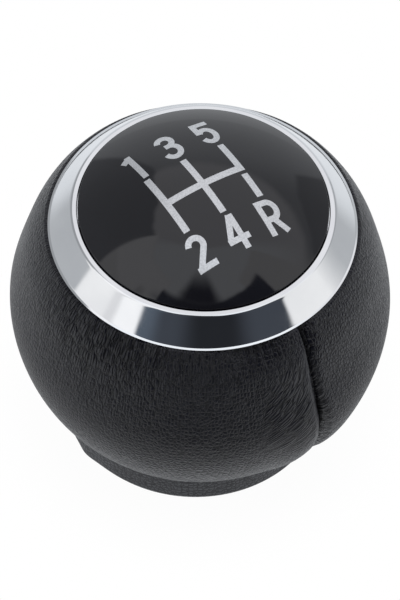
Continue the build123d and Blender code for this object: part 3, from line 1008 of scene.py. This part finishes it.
def pattern_print():
    """The shift pattern as one thin raised print that follows the dome."""
    finish = clouded_finish("silver_print")
    printed = build("pattern_print", [ribbon(*stroke) for stroke in print_strokes()], finish)
    run_tree(printed, union_tree(finish), {})
    work = bmesh.new()
    work.from_mesh(printed.data)
    reach = int(cap_radius / MM / PRINT_CELL)
    for axis in ((1, 0, 0), (0, 1, 0)):
        for i in range(-reach, reach + 1):
            parts = work.verts[:] + work.edges[:] + work.faces[:]
            place = Vector(axis) * (i * PRINT_CELL)
            bmesh.ops.bisect_plane(work, geom=parts, dist=PRINT_CUT, plane_co=place, plane_no=axis)
    for corner in work.verts:
        x = corner.co.x * MM
        y = corner.co.y * MM
        level = PRINT_RISE if corner.co.z > 0 else -PRINT_SINK
        corner.co = (x, y, float(dome_height(math.hypot(x, y))) + level)
    bmesh.ops.recalc_face_normals(work, faces=work.faces)
    work.to_mesh(printed.data)
    work.free()
    printed.data.shade_smooth()
    printed.data.set_sharp_from_angle(angle=SHARP)
    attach(printed, BODY)


def thread_tree(finish, sizes):
    """Adds the helical ridge of an inner thread to a bore round the Z axis."""
    tree, entry = new_group("inner_thread", "GeometryNodeTree", ["Geometry", *sizes], ["Geometry"])
    length = minus(tree, entry["High"], entry["Low"])
    middle = math_node(tree, "ADD", entry["Major radius"], entry["Minor radius"])
    middle = times(tree, middle, 0.5)
    depth = minus(tree, entry["Major radius"], entry["Minor radius"])
    helix = node(
        tree,
        "GeometryNodeCurveSpiral",
        {
            "Resolution": THREAD_STEPS,
            "Rotations": math_node(tree, "DIVIDE", length, entry["Pitch"]),
            "Start Radius": middle,
            "End Radius": middle,
            "Height": length,
        },
    )
    upright = node(tree, "GeometryNodeSetCurveNormal", {"Curve": helix.outputs[0]}, mode="Z_UP")
    ridge = node(
        tree,
        "GeometryNodeCurvePrimitiveQuadrilateral",
        {
            "Bottom Width": times(tree, entry["Pitch"], THREAD_FOOT),
            "Top Width": times(tree, entry["Pitch"], THREAD_TOP),
            "Height": depth,
            "Offset": 0.0,
        },
        mode="TRAPEZOID",
    )
    inwards = (0.0, 0.0, math.radians(90))
    turned_in = node(tree, "GeometryNodeTransform", {"Geometry": ridge.outputs[0], "Rotation": inwards})
    swept = node(
        tree,
        "GeometryNodeCurveToMesh",
        {"Curve": upright.outputs[0], "Profile Curve": turned_in.outputs[0], "Fill Caps": True},
    )
    lift = node(tree, "ShaderNodeCombineXYZ", {"Z": entry["Low"]}).outputs[0]
    raised = node(tree, "GeometryNodeTransform", {"Geometry": swept.outputs[0], "Translation": lift})
    both = node(tree, "GeometryNodeJoinGeometry")
    tree.links.new(entry["Geometry"], both.inputs[0])
    tree.links.new(raised.outputs[0], both.inputs[0])
    return finish_tree(tree, both.outputs[0], finish)


def threaded_insert():
    low = insert_low.z
    high = insert_high.z
    half = min(insert_high.x, insert_high.y)
    groove = half - INSERT_GROOVE_DEPTH
    groove_low = (low + high - INSERT_GROOVE_WIDTH) / 2
    groove_high = groove_low + INSERT_GROOVE_WIDTH
    section = [
        (THREAD_MAJOR, high),
        (THREAD_MAJOR, low + LEVER_CHAMFER / 2),
        (THREAD_MAJOR + LEVER_CHAMFER / 2, low),
        (half, low),
        (half, groove_low),
        (groove, groove_low),
        (groove, groove_high),
        (half, groove_high),
        (half, high),
    ]
    points, faces = turned(section, TURN_STEPS)
    angles = np.degrees(np.arctan2(points[:, 1], points[:, 0]))
    if insert_high.x > insert_high.y:
        angles += FLAT / 2
    flats = 1 / np.cos(np.radians((angles + FLAT / 2) % FLAT - FLAT / 2))
    bar = np.hypot(points[:, 0], points[:, 1]) > (groove + half) / 2
    points[:, :2] *= np.where(bar, flats, 1.0)[:, None]
    finish = clouded_finish("turned_brass")
    insert = build("insert", [(points, faces)], finish)
    sizes = {
        "Pitch": THREAD_PITCH,
        "Major radius": THREAD_MAJOR + THREAD_BITE,
        "Minor radius": THREAD_MINOR,
        "Low": low + THREAD_PITCH,
        "High": high - THREAD_PITCH,
    }
    run_tree(insert, thread_tree(finish, sizes), sizes)
    insert.data.set_sharp_from_angle(angle=SHARP)
    stands_for(insert, "threaded_insert")


def base_collar():
    plate_low_z = collar_high.z - COLLAR_PLATE
    bore = collar_high.x - COLLAR_FLANGE
    inner = collar_high.x - COLLAR_WALL
    wall = collar_high.x + COLLAR_PROUD
    section = rounded(
        [
            (wall, collar_low.z, COLLAR_FOOT_ROUND),
            (wall, collar_high.z, COLLAR_TOP_ROUND),
            (bore, collar_high.z, 0),
            (bore, plate_low_z, 0),
            (inner, plate_low_z, 0),
            (inner, collar_low.z, 0),
        ]
    )
    points, faces = turned(section, TURN_STEPS)
    radii = np.hypot(points[:, 0], points[:, 1])
    outer = radii > (inner + collar_high.x) / 2
    turns = np.degrees(np.arctan2(points[:, 1], points[:, 0])) % 360
    below = np.clip((collar_high.z - points[:, 2]) / (collar_high.z - collar_low.z), 0, 1)
    filled = np.where(outer, below * bell(turns, COLLAR_CORNER_TURN, COLLAR_CORNER_WIDTH), 0)
    points[:, :2] *= (1 + filled * ((wall + COLLAR_CORNER) / radii - 1))[:, None]
    points[:, :2] += np.outer(outer, COLLAR_LEAN)
    collar = build("collar", [(points, faces)], collar_finish())
    collar.data.set_sharp_from_angle(angle=SHARP)
    stands_for(collar, "base_collar")


def dress(cad_node, material):
    """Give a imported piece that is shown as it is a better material."""
    shown = cad[cad_node]
    shown.data.materials.clear()
    shown.data.materials.append(material)


def cool(level):
    """A slightly bluish grey of this brightness."""
    return (0.97 * level, level, 1.035 * level)


# Parts of the light tent round the knob: corners as degrees round from the camera and degrees up,
# softness of the edges in degrees, and colour
TENT_WALL = cool(0.60)
TENT_BACK = cool(0.84)
TENT_FLOOR = cool(0.94)
TENT_FRONT = cool(0.235)
TENT_BEHIND = (-0.6, -0.9)  # the back of the tent starts and is full at these cosines from the camera
TENT = [
    ([(-400, 38), (400, 38), (400, 120), (-400, 120)], 6, (1.04, 1.04, 1.07)),
    ([(-105, 44), (105, 44), (105, 120), (-105, 120)], 16, cool(1.28)),
    ([(-76, -6), (-36, -6), (-40, 67), (-117, 67)], 3, (1.15, 1.15, 1.15)),
    ([(-102, 48), (-40, 48), (-40, 67), (-113, 67)], 3, (1.29, 1.29, 1.31)),
    ([(60, -30), (98, -30), (98, 50), (60, 50)], 26, (1.12, 1.12, 1.12)),
    ([(48, -6), (88, -6), (98, 67), (54, 67)], 3, (1.12, 1.12, 1.12)),
    ([(-148, 0), (-92, 38), (-112, 66), (-144, 57), (-157, 37)], 3, cool(0.43)),
    ([(100, 28), (143, 4), (147, 20), (138, 29), (124, 33), (106, 34)], 3, cool(0.45)),
    ([(-37, -14), (55, -14), (70.5, 49), (74.5, 61.5), (34, 62.5), (-43, 62)], 3, (0.064, 0.073, 0.090)),
    ([(-48, -14), (-29, -14), (-29, 56), (-50, 56)], 12, (0.115, 0.142, 0.180)),
    ([(-8, -14), (30, -14), (30, 56), (-8, 56)], 20, (0.024, 0.026, 0.031)),
    ([(-58, -14), (-38, -14), (-42, 56), (-60, 56)], 3, (1.30, 1.30, 1.30)),
    ([(-60, -14), (-55, -14), (-56, 56), (-63, 56)], 4, (0.99, 0.99, 1.00)),
    ([(-26, 58), (24, 58), (16, 75), (-16, 75)], 14, cool(0.05)),
]
TENT_WAVER = 4.0  # degrees by which the edges stray


def from_camera(tree, vector):
    """A vector's degrees round from the camera, and its length towards it."""
    axes = axes_of(tree, turned_vector(tree, vector, math.radians(-CAMERA_AZIMUTH)))
    ahead = times(tree, axes["Y"], -1.0)
    return math_node(tree, "DEGREES", math_node(tree, "ARCTAN2", axes["X"], ahead)), ahead


def studio_floor():
    mesh = bpy.data.meshes.new("floor")
    corners = [(-1, -1), (1, -1), (1, 1), (-1, 1)]
    mesh.from_pydata([(x * FLOOR_HALF, y * FLOOR_HALF, collar_low.z) for x, y in corners], [], [(0, 1, 2, 3)])
    floor = new_object("floor", mesh)
    material, tree, shader, place = new_material("white_floor")
    white = (FLOOR_WHITE, FLOOR_WHITE, FLOOR_WHITE, 1.0)
    set_inputs(tree, shader, {"Base Color": white, "Roughness": FLOOR_ROUGHNESS, "Specular IOR Level": 0.0})
    rays = node(tree, "ShaderNodeLightPath").outputs
    seen = math_node(tree, "ADD", rays["Is Camera Ray"], rays["Is Transmission Ray"], clamp=True)
    azimuth, ahead = from_camera(tree, place)
    distance = node(tree, "ShaderNodeVectorMath", {0: place}, operation="LENGTH").outputs["Value"]
    near_share = times(tree, ramp(tree, distance, *FLOOR_NEAR), FLOOR_NEAR_GLOW)
    mirrored = math_node(tree, "MAXIMUM", near_share, ramp(tree, distance, *FLOOR_FAR))
    mirrored = times(tree, mirrored, rays["Is Glossy Ray"])
    plain = times(tree, seen, ramp(tree, distance, *FLOOR_SEEN, FLOOR_SEEN_GLOW, 1.0))
    share = math_node(tree, "MAXIMUM", plain, mirrored)
    front = times(tree, ramp(tree, azimuth, *FLOOR_FRONT_LEFT), ramp(tree, azimuth, *FLOOR_FRONT_RIGHT))
    front = times(tree, front, ramp(tree, distance, *FLOOR_FRONT))
    behind = ramp(tree, math_node(tree, "DIVIDE", ahead, distance), *TENT_BEHIND)
    faint = blend(tree, behind, TENT_WALL, TENT_FLOOR)
    shown = blend(tree, ramp(tree, distance, *FLOOR_FAINT), TENT_FLOOR, faint)
    shown = blend(tree, seen, blend(tree, front, shown, TENT_FRONT), PLAIN_WHITE)
    glow = node(tree, "ShaderNodeEmission", {"Color": shown, "Strength": 1.0}).outputs[0]
    lit = node(tree, "ShaderNodeMixShader", {0: share, 1: shader.outputs[0], 2: glow}).outputs[0]
    under = node(tree, "ShaderNodeNewGeometry").outputs["Backfacing"]
    clear = node(tree, "ShaderNodeBsdfTransparent").outputs[0]
    whole = node(tree, "ShaderNodeMixShader", {0: under, 1: lit, 2: clear}).outputs[0]
    tree.links.new(whole, tree.nodes["Material Output"].inputs["Surface"])
    mesh.materials.append(material)


def light_tent():
    world = bpy.data.worlds.new("light_tent")
    bpy.context.scene.world = world
    world.use_nodes = True
    tree = world.node_tree
    direction = node(tree, "ShaderNodeTexCoord").outputs["Generated"]
    azimuth, ahead = from_camera(tree, direction)
    upward = axes_of(tree, direction)["Z"]
    elevation = math_node(tree, "DEGREES", math_node(tree, "ARCSINE", upward))
    waver = times(tree, minus(tree, noise(tree, direction, 4.0, 2.0)["Fac"], 0.5), TENT_WAVER)
    azimuth = math_node(tree, "ADD", azimuth, waver)
    elevation = minus(tree, elevation, waver)

    def inside(corners, soft):
        """1 inside a zone and 0 outside it. Its corners run anticlockwise."""
        share = 1.0
        for (x, y), (next_x, next_y) in zip(corners, corners[1:] + corners[:1]):
            length = math.hypot(next_x - x, next_y - y)
            across = (y - next_y) / length
            along = (next_x - x) / length
            past = math_node(tree, "MULTIPLY_ADD", elevation, along, -across * x - along * y)
            past = math_node(tree, "MULTIPLY_ADD", azimuth, across, past)
            share = times(tree, ramp(tree, past, -soft / 2, soft / 2), share)
        return share

    colour = blend(tree, ramp(tree, ahead, *TENT_BEHIND), TENT_WALL, TENT_BACK)
    for corners, soft, level in TENT:
        colour = blend(tree, inside(corners, soft), colour, level)
    rays = node(tree, "ShaderNodeLightPath").outputs
    colour = blend(tree, rays["Is Camera Ray"], colour, PLAIN_WHITE)
    tree.links.new(colour, tree.nodes["Background"].inputs["Color"])


def top_light():
    lamp = bpy.data.lights.new("top_light", "AREA")
    lamp.size = TOP_LIGHT_SIZE
    lamp.energy = TOP_LIGHT_POWER
    light = new_object("top_light", lamp)
    light.location = (0, 0, TOP_LIGHT_HEIGHT)
    light.visible_glossy = False
    light.visible_camera = False


def photo_camera():
    azimuth = math.radians(CAMERA_AZIMUTH)
    elevation = math.radians(CAMERA_ELEVATION)
    towards = Vector(
        (
            math.sin(azimuth) * math.cos(elevation),
            -math.cos(azimuth) * math.cos(elevation),
            math.sin(elevation),
        )
    )
    data = bpy.data.cameras.new("camera")
    data.lens = CAMERA_LENS
    data.sensor_width = SENSOR
    data.clip_start, data.clip_end = CAMERA_CLIP
    camera = new_object("camera", data)
    camera.rotation_mode = "QUATERNION"
    level = (-towards).to_track_quat("-Z", "Y")
    camera.rotation_quaternion = level @ Quaternion((0, 0, 1), math.radians(CAMERA_ROLL))
    upward = camera.rotation_quaternion @ Vector((0, 1, 0))
    camera.location = Vector((0, 0, ball_z)) - upward * CAMERA_DROP + towards * CAMERA_DISTANCE
    bpy.context.scene.camera = camera


bpy.context.scene.view_settings.view_transform = "Standard"
photo_camera()
light_tent()
top_light()
studio_floor()

leather_cover()
trim_ring()
pattern_cap()
pattern_print()
base_collar()
threaded_insert()
dress("knob_core", clouded_finish("moulded_plastic"))
dress("seam_thread", thread_finish())
